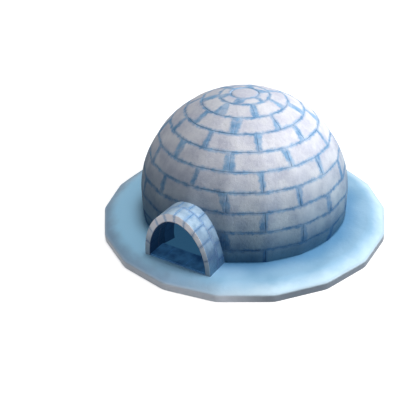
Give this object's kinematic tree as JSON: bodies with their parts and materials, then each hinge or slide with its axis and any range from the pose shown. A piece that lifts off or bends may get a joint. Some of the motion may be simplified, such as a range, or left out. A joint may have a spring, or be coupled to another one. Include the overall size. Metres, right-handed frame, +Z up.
{
  "type": "igloo",
  "caption": "Round snow-block igloo: a hollow dome of leaning courses with an arched entrance tunnel, on a low many-sided plinth of packed snow.",
  "frame": {"origin": "centre of the plinth's underside, on the ground", "axes": "+Z up, entrance tunnel towards -Y, +X to the right of someone who looks at the entrance from outside"},
  "size_m": [4.9122, 4.988, 2.321],
  "materials": {
    "block_snow": "rough wind-packed snow",
    "arch_snow": "rough wind-packed snow",
    "seam_snow": "pressed blue snow",
    "plinth_snow": "smooth frozen snow",
    "floor_snow": "trodden ice"
  },
  "bodies": {
    "root": {"base_plinth": "plinth_snow", "cap_block": "block_snow", "course_01": "block_snow", "course_02": "block_snow", "course_03": "block_snow", "course_04": "block_snow", "course_05": "block_snow", "course_06": "block_snow", "course_07": "block_snow", "course_08": "block_snow", "course_09": "block_snow", "course_10": "block_snow", "front_arch": "arch_snow", "packing_01": "seam_snow", "packing_02": "seam_snow", "packing_03": "seam_snow", "packing_04": "seam_snow", "packing_05": "seam_snow", "packing_06": "seam_snow", "packing_07": "seam_snow", "packing_08": "seam_snow", "packing_09": "seam_snow", "packing_10": "seam_snow", "rear_arch": "arch_snow", "tunnel_floor": "floor_snow", "tunnel_packing": "seam_snow"}
  },
  "joints": []
}
